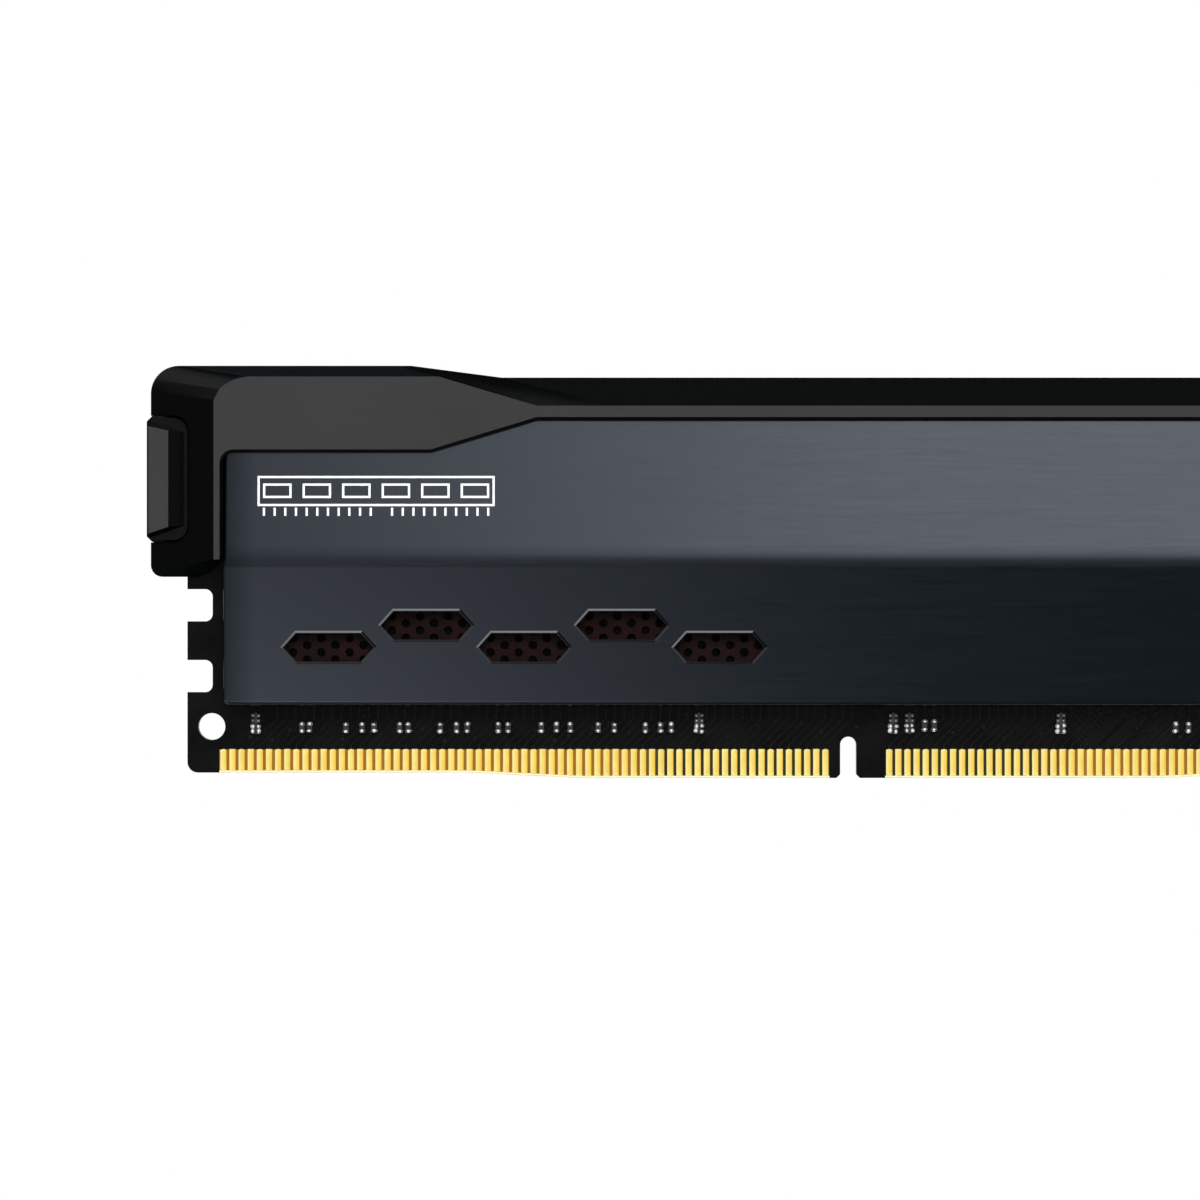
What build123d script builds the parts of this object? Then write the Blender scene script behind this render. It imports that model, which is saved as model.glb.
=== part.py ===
from build123d import *

import os

# Desktop memory module with a framed aluminium heat spreader.
# Millimetres. +X runs along the contact row and +Z points away from the socket.
# The face with the short contact row on its left looks along -Y. The origin is the
# middle of the board's length and thickness, at the height of its lowest edge.

os.makedirs("parts", exist_ok=True)

tolerance = 0.01  # slack when edges and corners are chosen by where they lie

# ---------------------------------------------------------------- driving dimensions

# circuit board
board_length = 133.35
board_height = 31.25
board_thickness = 1.4
edge_step = 0.5  # the outer stretches of the contact edge stand this much higher
ramp_length = 10.2
low_edge_start = -30.175
low_edge_end = 24.225
board_corner_radius = 1.0
edge_bevel = 0.2
key_x = -5.1
key_width = 1.5
key_depth = 3.85
key_mouth = 0.35  # lead-in at each lower corner of the key
latch_heights = (9.5, 16.1)
latch_height = 3.0
latch_depth = 2.35
latch_corner_radius = 0.7
board_hole_radius = 1.25
board_hole_inset = 2.275
board_hole_height = 4.8

# edge contacts
contact_pitch = 0.85
contact_width = 0.57
contact_thickness = 0.05
contact_top = 2.7
contact_crown = 0.14  # height of the rounded end of every second contact
contact_foot_gap = 0.02  # bare laminate between the bevel and a contact's foot
first_short_row_x = -63.325
short_row_count = 67
first_long_row_x = -1.275
long_row_count = 77

# memory chips and their solder balls
chips_per_side = 8
chip_width = 7.5
chip_height = 11.0
chip_body_thickness = 0.85
chip_chamfer = 0.08
chip_standoff = 0.3
chip_bottom_z = 13.5
chip_first_x = 12.5
chip_pitch = 14.0
ball_radius = 0.225
ball_column_pitch = 0.8
ball_row_pitch = 1.6  # every second row of the real ball field
ball_rows = 7
ball_columns = 3
ball_bank_x = 2.4

# small parts on the board
spd_size = (3.0, 2.0, 0.75)
spd_centre_z = 21.0
spd_chamfer = 0.06
resistor_width = 0.5
resistor_length = 0.86
resistor_thickness = 0.35
resistor_cap = 0.25
body_recess = 0.03  # a body's outer face lies this far under its terminals
body_inset = 0.02  # and its long sides this far inside them
resistor_z = 4.7
resistor_lanes_left = (
    (-56.0, -55.3),
    (-51.9, -50.4, -49.3),
    (-46.9, -46.1),
    (-43.1, -41.6, -40.6),
    (-37.7, -36.8),
    (-33.7, -32.3, -31.0),
    (-28.4, -26.9),
    (-24.0, -22.6, -21.6),
)
resistor_pair_right = (25.4, 26.6)
resistor_triple_right = (29.0, 30.5, 31.6)
resistor_lane_pitch = 9.3
resistor_lanes_right_count = 4
array_x = (-60.3, -19.0, -0.9, 0.6, 14.7)
array_width = 0.5
array_length = 2.0
array_thickness = 0.4
array_terminal = 0.3
array_terminal_pitch = 0.48
array_terminal_count = 4
array_z = 5.1
capacitor_width = 0.5
capacitor_length = 1.0
capacitor_thickness = 0.5
capacitor_cap = 0.25
capacitor_row_z = 4.9
capacitor_row_x = (2.0, 2.9)
decoupling_z = 27.2
decoupling_spread = 2.6
decoupling_per_chip = 3

# thermal pads
pad_length = 118.0
pad_height = 12.5
pad_thickness = 0.5

# heat spreader plates
plate_half_length = 63.2
plate_bottom = 6.8
plate_top = 34.4
crease_z = 20.6
crease_y = 3.9
plate_bottom_y = 3.0
plate_slope = (crease_y - plate_bottom_y) / (crease_z - plate_bottom)
crease_radius = 15.0
plate_corner_radius = 0.5
plate_edge_radius = 0.4

# vents in the plate
vent_count = 5
vent_first_x = -53.42
vent_pitch = 9.07
vent_low_z = 12.2
vent_high_z = 14.25
vent_length = 8.4
vent_flat = 6.0
vent_height = 2.65
vent_rim_width = 0.22
vent_rim_height = 0.13
vent_rim_taper = 52
vent_tip_growth = 1.35  # how much faster a vent's pointed tips grow than its flat sides
vent_flat_growth = 0.6

# perforated sheet behind the vents
mesh_left = -58.76
mesh_right = -11.4
mesh_bottom = 8.97
mesh_top = 16.9
mesh_thickness = 0.3
mesh_hole_radius = 0.41
mesh_hole_inset = 0.7
mesh_column_pitch = 1.31
mesh_row_pitch = 1.36

# frame
frame_face_y = 4.1
frame_edge_y = 1.2
frame_half_length = 70.05
frame_bottom = 18.75
frame_top_high = 38.4
frame_top_low = 37.3
frame_corner_radius = 2.6
frame_foot_radius = 1.1
frame_inner_foot_radius = 3.2
frame_inner_foot_x = 63.05
face_half_length = 64.05
face_top_high = 37.3
face_top_low = 34.6
face_corner_height = 2.4
face_corner_length = 3.7
face_foot = 20.35  # the legs' flat faces end above the frame's lowest edge
# the flat facet across each upper corner, as heights above the corner's foot
facet_face_low = 0.25
facet_face_high = 1.25
facet_edge_low = 0.5
facet_edge_high = 1.9
shoulder_face_x = 43.2
shoulder_kink_x = 42.0
shoulder_foot_x = 34.1
shoulder_edge_x = 45.8
shoulder_edge_foot_x = 37.4
shoulder_edge_end_x = 28.2
opening_half_length = 63.25
opening_top_low = 30.3
opening_top_high = 33.3
opening_shoulder_x = 43.9
opening_corner_radius = 1.0
opening_chamfer = 0.25
pocket_half_width = 3.3
duct_half_length = 58.0
duct_half_width = 1.8
duct_top = 35.6
board_slot_half_width = 0.75
board_slot_half_length = 66.8

# end lugs
lug_outer_x = 70.4
lug_inner_x = 66.4
lug_bottom = 22.0
lug_top = 33.7
lug_corner_radius = 1.5
lug_nose = 0.5
lug_base_y = 1.9
lug_face_y = 2.6
lug_face_outer_x = 70.2
lug_face_inner_x = 68.35
lug_face_bottom = 22.75
lug_face_top = 32.75
lug_foot_inner_x = 66.95
lug_foot_inset = 0.35
lug_face_top_slant = 0.42
lug_face_bottom_slant = 0.65
lug_edge_chamfer = 0.18
lug_gap = 0.05
lug_web_half_width = 0.7
lug_web_end = 69.85
lug_mouth_overlap = 0.2
lug_groove_end = 69.9

# ---------------------------------------------------------------- derived places

board_half = board_length / 2
board_face = board_thickness / 2
board_hole_x = board_half - board_hole_inset
chip_back_y = board_face + chip_standoff
chip_front_y = chip_back_y + chip_body_thickness
plate_inner_y = chip_front_y + pad_thickness
chip_centre_z = chip_bottom_z + chip_height / 2
chip_xs = [
    side * (chip_first_x + chip_pitch * place)
    for side in (-1, 1)
    for place in range(chips_per_side // 2)
]


def edge_height(x):
    """Height of the board's contact edge at x: a low middle, two ramps, two high ends."""
    if x < low_edge_start:
        return edge_step * min(1.0, (low_edge_start - x) / ramp_length)
    if x > low_edge_end:
        return edge_step * min(1.0, (x - low_edge_end) / ramp_length)
    return 0.0


def resistor_places():
    """Every termination resistor's x on one face, lane by lane."""
    places = [x for lane in resistor_lanes_left for x in lane]
    for lane in range(resistor_lanes_right_count):
        shift = lane * resistor_lane_pitch
        places += [x + shift for x in resistor_pair_right + resistor_triple_right]
    return places


def capacitor_places():
    """Every small capacitor's (x, z): two by the key and a row above each chip."""
    places = [(x, capacitor_row_z) for x in capacitor_row_x]
    for chip_x in chip_xs:
        for index in range(decoupling_per_chip):
            offset = (index - (decoupling_per_chip - 1) / 2) * decoupling_spread
            places.append((chip_x + offset, decoupling_z))
    return places


def finish(piece, name):
    """Label a finished piece and write its STEP file."""
    piece.part.label = name
    export_step(piece.part, f"parts/{name}.step")


def finish_pair(piece, name):
    """Write a piece as the front one, and again turned half a turn as the back one."""
    finish(piece, f"{name}_front")
    with BuildPart() as turned:
        add(piece.part, rotation=(0, 0, 180))
    finish(turned, f"{name}_back")


# ---------------------------------------------------------------- circuit board

with BuildPart() as circuit_board:
    with BuildSketch(Plane.XZ) as board_outline:
        with BuildLine():
            Polyline(
                (-board_half, edge_step),
                (low_edge_start - ramp_length, edge_step),
                (low_edge_start, 0),
                (low_edge_end, 0),
                (low_edge_end + ramp_length, edge_step),
                (board_half, edge_step),
                (board_half, board_height),
                (-board_half, board_height),
                close=True,
            )
        make_face()
    extrude(amount=board_face, both=True)
    bottom_edges = circuit_board.edges().filter_by(
        lambda edge: edge.center().Z < edge_step + tolerance and edge.length > board_thickness
    )
    chamfer(bottom_edges, length=edge_bevel, length2=edge_bevel / 2)
    lower_corners = circuit_board.edges().filter_by(Axis.Y).filter_by(
        lambda edge: edge.center().Z < edge_step + edge_bevel
        and abs(edge.center().X) > board_half - tolerance
    )
    fillet(lower_corners, radius=board_corner_radius)
    with BuildSketch(Plane.XZ):
        with Locations((key_x, key_depth - key_width / 2)):
            Circle(key_width / 2)
        with Locations((key_x, key_depth / 2 - key_width / 2)):
            Rectangle(key_width, key_depth - key_width / 4)
        for side in (-1, 1):
            Polygon(
                (key_x, -key_mouth),
                (key_x, key_mouth),
                (key_x + side * key_width / 2, key_mouth),
                (key_x + side * (key_width / 2 + 2 * key_mouth), -key_mouth),
                align=None,
            )
        for side in (-1, 1):
            with Locations((side * board_hole_x, board_hole_height)):
                Circle(board_hole_radius)
            for height in latch_heights:
                with Locations((side * board_half, height)):
                    RectangleRounded(2 * latch_depth, latch_height, latch_corner_radius)
    extrude(amount=board_thickness, both=True, mode=Mode.SUBTRACT)

finish(circuit_board, "circuit_board")

# ---------------------------------------------------------------- edge contacts

row_starts = ((first_short_row_x, short_row_count), (first_long_row_x, long_row_count))

for face_name, contact_plane in (
    ("front", Plane.XZ.offset(board_face)),
    ("back", Plane.XZ.offset(-board_face - contact_thickness)),
):
    with BuildPart() as edge_contacts:
        with BuildSketch(contact_plane):
            for first_x, count in row_starts:
                for index in range(count):
                    x = first_x + index * contact_pitch
                    foot = edge_height(x) + edge_bevel + contact_foot_gap
                    top = contact_top if index % 2 else contact_top - contact_crown
                    with Locations((x, (foot + top) / 2)):
                        Rectangle(contact_width, top - foot)
                    if index % 2 == 0:
                        with Locations((x, top)):
                            Ellipse(contact_width / 2, contact_crown)
        extrude(amount=contact_thickness)
    finish(edge_contacts, f"edge_contacts_{face_name}")

# ---------------------------------------------------------------- memory chips

for face_name, outward in (("front", -1), ("back", 1)):
    for number, chip_x in enumerate(chip_xs, start=1):
        with BuildPart() as memory_chip:
            with Locations((chip_x, outward * (chip_back_y + chip_body_thickness / 2), chip_centre_z)):
                Box(chip_width, chip_body_thickness, chip_height)
            outer_face = memory_chip.faces().filter_by(Axis.Y).sort_by(Axis.Y)[-1 if outward > 0 else 0]
            chamfer(outer_face.edges(), length=chip_chamfer)
        finish(memory_chip, f"memory_chip_{face_name}_{number}")

# One ball field of every chip on a face: two banks of three columns.
with BuildPart() as solder_balls:
    for chip_x in chip_xs:
        for bank in (-1, 1):
            with BuildSketch(Plane.XZ.offset(board_face)):
                with Locations((chip_x + bank * ball_bank_x, chip_centre_z)):
                    with GridLocations(ball_column_pitch, ball_row_pitch, ball_columns, ball_rows):
                        Circle(ball_radius)
    extrude(amount=chip_standoff)

finish_pair(solder_balls, "solder_balls")

# ---------------------------------------------------------------- small parts on the board

spd_width, spd_height, spd_thickness = spd_size
with BuildPart() as spd_chip:
    with Locations((0, -board_face - spd_thickness / 2, spd_centre_z)):
        Box(spd_width, spd_thickness, spd_height)
    chamfer(spd_chip.faces().sort_by(Axis.Y)[0].edges(), length=spd_chamfer)

finish(spd_chip, "spd_chip")

with BuildPart() as resistor_bodies:
    with BuildSketch(Plane.XZ.offset(board_face)):
        for x in resistor_places():
            with Locations((x, resistor_z)):
                Rectangle(resistor_width - 2 * body_inset, resistor_length - 2 * resistor_cap)
    extrude(amount=resistor_thickness - body_recess)

finish_pair(resistor_bodies, "resistor_bodies")

with BuildPart() as resistor_terminals:
    with BuildSketch(Plane.XZ.offset(board_face)):
        for x in resistor_places():
            for end in (-1, 1):
                with Locations((x, resistor_z + end * (resistor_length - resistor_cap) / 2)):
                    Rectangle(resistor_width, resistor_cap)
    extrude(amount=resistor_thickness)

finish_pair(resistor_terminals, "resistor_terminals")

with BuildPart() as resistor_array_bodies:
    with BuildSketch(Plane.XZ.offset(board_face)):
        for x in array_x:
            with Locations((x, array_z)):
                Rectangle(array_width - array_terminal, array_length)
    extrude(amount=array_thickness)

finish_pair(resistor_array_bodies, "resistor_array_bodies")

with BuildPart() as resistor_array_terminals:
    with BuildSketch(Plane.XZ.offset(board_face)):
        for x in array_x:
            for side in (-1, 1):
                with Locations((x + side * array_width / 2, array_z)):
                    with GridLocations(0, array_terminal_pitch, 1, array_terminal_count):
                        Rectangle(array_terminal, array_terminal)
    extrude(amount=array_thickness - body_recess)

finish_pair(resistor_array_terminals, "resistor_array_terminals")

with BuildPart() as capacitor_bodies:
    with BuildSketch(Plane.XZ.offset(board_face)):
        for x, z in capacitor_places():
            with Locations((x, z)):
                Rectangle(capacitor_width - 2 * body_inset, capacitor_length - 2 * capacitor_cap)
    extrude(amount=capacitor_thickness - body_recess)

finish_pair(capacitor_bodies, "capacitor_bodies")

with BuildPart() as capacitor_terminals:
    with BuildSketch(Plane.XZ.offset(board_face)):
        for x, z in capacitor_places():
            for end in (-1, 1):
                with Locations((x, z + end * (capacitor_length - capacitor_cap) / 2)):
                    Rectangle(capacitor_width, capacitor_cap)
    extrude(amount=capacitor_thickness)

finish_pair(capacitor_terminals, "capacitor_terminals")

# ---------------------------------------------------------------- thermal pads

with BuildPart() as thermal_pad:
    with BuildSketch(Plane.XZ.offset(chip_front_y)):
        with Locations((0, chip_centre_z)):
            Rectangle(pad_length, pad_height)
    extrude(amount=pad_thickness)

finish_pair(thermal_pad, "thermal_pad")

# ---------------------------------------------------------------- heat spreader plates

plate_top_y = crease_y - plate_slope * (plate_top - crease_z)
lower_face = Plane(
    origin=(0, -plate_bottom_y, plate_bottom),
    x_dir=(1, 0, 0),
    z_dir=(0, -1, -plate_slope),
)


def vent_places():
    """Centre of every vent, measured on the plate's sloping lower face."""
    places = []
    for index in range(vent_count):
        height = vent_high_z if index % 2 else vent_low_z
        places.append((vent_first_x + index * vent_pitch, height - plate_bottom))
    return places


def vent_outline(grow):
    """The elongated hexagon of one vent, grown evenly on every side."""
    half = vent_length / 2 + grow * vent_tip_growth
    flat = vent_flat / 2 + grow * vent_flat_growth
    tall = vent_height / 2 + grow
    return [(-half, 0), (-flat, tall), (flat, tall), (half, 0), (flat, -tall), (-flat, -tall)]


with BuildPart() as heat_spreader:
    with BuildSketch(Plane.YZ.offset(-plate_half_length)):
        with BuildLine():
            Polyline(
                (-plate_inner_y, plate_bottom),
                (-plate_bottom_y, plate_bottom),
                (-crease_y, crease_z),
                (-plate_top_y, plate_top),
                (-plate_inner_y, plate_top),
                close=True,
            )
        section = make_face()
        crease = section.vertices().sort_by(Axis.X)[0]
        fillet(crease, radius=crease_radius)
    extrude(amount=2 * plate_half_length)
    fillet(
        heat_spreader.edges().filter_by(Axis.Y).group_by(Axis.Z)[0],
        radius=plate_corner_radius,
    )
    outer_rim = heat_spreader.edges().filter_by(Axis.Y, reverse=True).filter_by(
        lambda edge: edge.center().Y < -plate_inner_y - tolerance
        and edge.center().Z < plate_top - tolerance
        and (
            abs(edge.center().X) > plate_half_length - plate_corner_radius
            or edge.center().Z < plate_bottom + tolerance
        )
    )
    fillet(outer_rim, radius=plate_edge_radius)
    # raised rims, then the openings through them
    with BuildSketch(lower_face):
        for place in vent_places():
            with Locations(place):
                Polygon(*vent_outline(vent_rim_width), align=None)
    extrude(amount=vent_rim_height, taper=vent_rim_taper)
    with BuildSketch(lower_face.offset(vent_rim_height)):
        for place in vent_places():
            with Locations(place):
                Polygon(*vent_outline(0), align=None)
    extrude(amount=-2 * (crease_y - plate_inner_y), mode=Mode.SUBTRACT)
    # shallow recess in the back of the plate for the perforated sheet
    with BuildSketch(Plane.XZ.offset(plate_inner_y)):
        with Locations(((mesh_left + mesh_right) / 2, (mesh_bottom + mesh_top) / 2)):
            Rectangle(mesh_right - mesh_left, mesh_top - mesh_bottom)
    extrude(amount=mesh_thickness, mode=Mode.SUBTRACT)

finish_pair(heat_spreader, "heat_spreader")

# ---------------------------------------------------------------- perforated sheets

mesh_columns = int((mesh_right - mesh_left - mesh_hole_inset) / mesh_column_pitch)
mesh_rows = int((mesh_top - mesh_bottom - mesh_hole_inset) / mesh_row_pitch)

with BuildPart() as vent_mesh:
    with BuildSketch(Plane.XZ.offset(plate_inner_y)):
        with Locations(((mesh_left + mesh_right) / 2, (mesh_bottom + mesh_top) / 2)):
            Rectangle(mesh_right - mesh_left, mesh_top - mesh_bottom)
        for column in range(mesh_columns):
            x = mesh_left + mesh_hole_inset + column * mesh_column_pitch
            stagger = mesh_row_pitch / 2 if column % 2 else 0
            for row in range(mesh_rows):
                z = mesh_bottom + mesh_hole_inset + stagger + row * mesh_row_pitch
                with Locations((x, z)):
                    Circle(mesh_hole_radius, mode=Mode.SUBTRACT)
    extrude(amount=mesh_thickness)

finish_pair(vent_mesh, "vent_mesh")

# ---------------------------------------------------------------- frame


def corner_point(centre_x, centre_z, length, height, rise):
    """Point on a quarter ellipse that turns from an upright side into the top."""
    across = (1 - (rise / height) ** 2) ** 0.5
    return (centre_x - length * across, centre_z + rise)


def mirrored(points):
    """The same points on the other side of the module, in reverse order."""
    return [(-x, z) for x, z in reversed(points)]


def corner_arc(centre, radii, rise_from, rise_to, side):
    """A piece of the quarter ellipse at an upper corner, on the given side."""
    middle = (rise_from + rise_to) / 2
    stops = [corner_point(*centre, *radii, rise) for rise in (rise_from, middle, rise_to)]
    ThreePointArc(*[(side * -x, z) for x, z in stops])


def ring_line(side_x, rises, corner, radii, top_points, foot_z, flat_corners):
    """One closed outline of the frame: two legs, the top, and corners made in three stretches."""
    corner_points = [corner_point(*corner, *radii, rise) for rise in rises]
    leg = [(-side_x, foot_z), corner_points[0]]
    facet = corner_points[1:3]
    for side, turn in ((-1, list), (1, mirrored)):
        Line(*turn(leg))
        corner_arc(corner, radii, *rises[:2], side)
        if flat_corners:
            Line(*turn(facet))
        else:
            corner_arc(corner, radii, *rises[1:3], side)
        corner_arc(corner, radii, *rises[2:], side)
    top_ends = corner_points[3:]
    Polyline(*(top_ends + top_points + mirrored(top_points) + mirrored(top_ends)))
    Line((side_x, foot_z), (-side_x, foot_z))


def foot_waste(corner, reach, radius):
    """What is cut from a square corner of a leg's foot to round it; reach is signed along X."""
    x, z = corner
    with Locations((x + reach / 2, z + radius / 2)):
        Rectangle(radius, radius)
    with Locations((x + reach, z + radius)):
        Circle(radius, mode=Mode.SUBTRACT)


face_corner = (-face_half_length + face_corner_length, face_top_high - face_corner_height)
face_rises = (0, facet_face_low, facet_face_high, face_corner_height)
edge_corner = (-frame_half_length + frame_corner_radius, frame_top_high - frame_corner_radius)
edge_rises = (0, facet_edge_low, facet_edge_high, frame_corner_radius)
kink_z = face_top_high - (face_top_high - face_top_low) * (shoulder_face_x - shoulder_kink_x) / (
    shoulder_face_x - shoulder_foot_x
)
face_top_line = [
    (-shoulder_face_x, face_top_high),
    (-shoulder_kink_x, kink_z),
    (-shoulder_foot_x, face_top_low),
]
edge_top_line = [
    (-shoulder_edge_x, frame_top_high),
    (-shoulder_edge_foot_x, frame_top_low),
    (-shoulder_edge_end_x, frame_top_low),
]

lug_centre_z = (lug_bottom + lug_top) / 2
pocket_height = lug_top - lug_bottom + 2 * lug_gap
opening_points = [
    (-opening_half_length, 0),
    (-opening_half_length, opening_top_low),
    (-opening_shoulder_x, opening_top_low),
    (-shoulder_foot_x, opening_top_high),
]

with BuildPart() as top_frame:
    # bevelled front and back, each a ruled skin from the face outline to the edge outline
    for outward in (1, -1):
        with BuildSketch(Plane.XZ.offset(outward * frame_face_y)):
            with BuildLine():
                ring_line(
                    face_half_length,
                    face_rises,
                    face_corner,
                    (face_corner_length, face_corner_height),
                    face_top_line,
                    face_foot,
                    flat_corners=True,
                )
            make_face()
        with BuildSketch(Plane.XZ.offset(outward * frame_edge_y)) as edge_outline:
            with BuildLine():
                ring_line(
                    frame_half_length,
                    edge_rises,
                    edge_corner,
                    (frame_corner_radius, frame_corner_radius),
                    edge_top_line,
                    frame_bottom,
                    flat_corners=False,
                )
            make_face()
        loft(ruled=True)
    extrude(edge_outline.sketch, amount=2 * frame_edge_y)
    # opening for the heat spreader plates
    with BuildSketch(Plane.XZ):
        with BuildLine():
            Polyline(*(opening_points + mirrored(opening_points)), close=True)
        opening = make_face()
        upper_corners = opening.vertices().filter_by(
            lambda vertex: abs(vertex.X) > opening_half_length - tolerance
            and vertex.Y > opening_top_low - tolerance
        )
        fillet(upper_corners, radius=opening_corner_radius)
    extrude(amount=2 * frame_face_y, both=True, mode=Mode.SUBTRACT)
    opening_edges = top_frame.edges().filter_by(
        lambda edge: abs(edge.center().Y) > frame_face_y - tolerance
        and abs(edge.center().X) < opening_half_length + tolerance
        and frame_bottom + tolerance < edge.center().Z < opening_top_high + tolerance
    )
    chamfer(opening_edges, length=opening_chamfer)
    # room for the plates behind the cheeks, and a hollow duct under the top
    with Locations((0, 0, plate_top / 2)):
        Box(2 * opening_half_length, 2 * pocket_half_width, plate_top, mode=Mode.SUBTRACT)
    with Locations((0, 0, (plate_top + duct_top) / 2)):
        Box(2 * duct_half_length, 2 * duct_half_width, duct_top - plate_top, mode=Mode.SUBTRACT)
    # slot that takes the ends of the board
    with Locations((0, 0, board_height / 2)):
        Box(2 * board_slot_half_length, 2 * board_slot_half_width, board_height, mode=Mode.SUBTRACT)
    # rounded feet of the legs
    for side in (-1, 1):
        with BuildSketch(Plane.XZ):
            corner = (side * frame_inner_foot_x, frame_bottom)
            foot_waste(corner, side * frame_inner_foot_radius, frame_inner_foot_radius)
        extrude(amount=2 * frame_face_y, both=True, mode=Mode.SUBTRACT)
        with BuildSketch(Plane.XZ):
            corner = (side * frame_half_length, frame_bottom)
            foot_waste(corner, -side * frame_foot_radius, frame_foot_radius)
        extrude(amount=2 * frame_face_y, both=True, mode=Mode.SUBTRACT)
    # pockets that hold the end lugs, with a thin web between them that the lug's groove fits over
    for side in (-1, 1):
        for outward in (-1, 1):
            with BuildSketch(Plane.XZ.offset(outward * lug_web_half_width)):
                with Locations((side * (lug_inner_x + lug_corner_radius * 2), lug_centre_z)):
                    RectangleRounded(4 * lug_corner_radius, pocket_height, lug_corner_radius)
                with Locations((side * (frame_half_length + lug_mouth_overlap), lug_centre_z)):
                    Rectangle(2 * lug_corner_radius, pocket_height)
            extrude(amount=outward * 2 * frame_face_y, mode=Mode.SUBTRACT)
        with Locations((side * (lug_web_end + frame_half_length) / 2, 0, lug_centre_z)):
            Box(frame_half_length - lug_web_end, 2 * frame_edge_y, pocket_height, mode=Mode.SUBTRACT)

finish(top_frame, "top_frame")

# ---------------------------------------------------------------- end lugs

for side_name, side in (("left", -1), ("right", 1)):
    with BuildPart() as end_lug:
        with BuildSketch(Plane.XZ):
            with BuildLine():
                Polyline(
                    (side * lug_inner_x, lug_bottom),
                    (side * (lug_outer_x - lug_nose), lug_bottom),
                    (side * lug_outer_x, lug_bottom + lug_nose),
                    (side * lug_outer_x, lug_top - lug_nose),
                    (side * (lug_outer_x - lug_nose), lug_top),
                    (side * lug_inner_x, lug_top),
                    close=True,
                )
            lug_shape = make_face()
            inner_corners = lug_shape.vertices().filter_by(
                lambda vertex: abs(vertex.X) < lug_inner_x + tolerance
            )
            fillet(inner_corners, radius=lug_corner_radius)
        extrude(amount=lug_base_y, both=True)
        base_edges = end_lug.edges().filter_by(
            lambda edge: abs(edge.center().Y) > lug_base_y - tolerance
        )
        chamfer(base_edges, length=lug_edge_chamfer)
        # raised pad on each face, with sloping sides
        for outward in (1, -1):
            with BuildSketch(Plane.XZ.offset(outward * lug_base_y)):
                Polygon(
                    (side * lug_face_outer_x, lug_bottom + lug_foot_inset),
                    (side * lug_face_outer_x, lug_top - lug_foot_inset),
                    (side * lug_foot_inner_x, lug_top - lug_corner_radius),
                    (side * lug_foot_inner_x, lug_bottom + lug_corner_radius),
                    align=None,
                )
            with BuildSketch(Plane.XZ.offset(outward * lug_face_y)):
                Polygon(
                    (side * lug_face_outer_x, lug_face_bottom),
                    (side * lug_face_outer_x, lug_face_top),
                    (side * lug_face_inner_x, lug_face_top - lug_face_top_slant),
                    (side * lug_face_inner_x, lug_face_bottom + lug_face_bottom_slant),
                    align=None,
                )
            loft(ruled=True)
        # groove that takes the board's end and the frame's web
        with Locations((0, 0, board_height / 2)):
            Box(2 * lug_groove_end, 2 * board_slot_half_width, 2 * board_height, mode=Mode.SUBTRACT)
    finish(end_lug, f"end_lug_{side_name}")
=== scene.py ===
import logging
import math
import random
from dataclasses import dataclass
from enum import Enum
from typing import Callable, Sequence

import bmesh
import bpy
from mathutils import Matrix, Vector


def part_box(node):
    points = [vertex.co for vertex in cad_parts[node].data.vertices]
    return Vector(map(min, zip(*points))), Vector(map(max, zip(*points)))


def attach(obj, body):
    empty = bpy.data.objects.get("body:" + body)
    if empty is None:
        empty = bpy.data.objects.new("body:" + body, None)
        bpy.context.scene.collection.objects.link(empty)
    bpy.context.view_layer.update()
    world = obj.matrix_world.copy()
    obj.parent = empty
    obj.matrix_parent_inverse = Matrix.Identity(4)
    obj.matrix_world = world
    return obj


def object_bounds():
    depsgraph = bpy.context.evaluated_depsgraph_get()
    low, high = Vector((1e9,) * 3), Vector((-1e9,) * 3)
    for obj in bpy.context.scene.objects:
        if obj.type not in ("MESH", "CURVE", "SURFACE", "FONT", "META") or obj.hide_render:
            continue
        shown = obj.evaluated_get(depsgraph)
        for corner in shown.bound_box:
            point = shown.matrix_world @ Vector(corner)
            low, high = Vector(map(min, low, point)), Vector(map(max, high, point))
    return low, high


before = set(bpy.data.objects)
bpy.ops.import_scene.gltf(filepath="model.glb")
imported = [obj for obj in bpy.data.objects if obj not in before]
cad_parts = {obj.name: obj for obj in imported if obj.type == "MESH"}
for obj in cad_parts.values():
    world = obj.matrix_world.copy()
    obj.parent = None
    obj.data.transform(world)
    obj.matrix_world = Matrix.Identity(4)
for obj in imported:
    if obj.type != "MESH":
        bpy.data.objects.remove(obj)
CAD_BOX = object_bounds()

logging.basicConfig(level=logging.INFO, format="%(message)s")
LOG = logging.getLogger("memory_module")

MM = 0.001
WELD = 0.002 * MM  # corners closer than this are one corner
Colour = tuple[float, float, float]


class Face(Enum):
    """The two faces of the module, by the way they look."""

    FRONT = ("front", -1.0)
    BACK = ("back", 1.0)

    @property
    def label(self) -> str:
        """The word that ends the names of this face's nodes and pieces."""
        return self.value[0]

    @property
    def outward(self) -> float:
        """Sign of Y that points out of this face."""
        return self.value[1]


class Slot(Enum):
    """The record's material slot names."""

    BOARD = "board_mask"
    GOLD = "contact_gold"
    TIN = "solder_tin"
    PRINT = "print_white"


# ------------------------------------------------------------------ shader building


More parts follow.
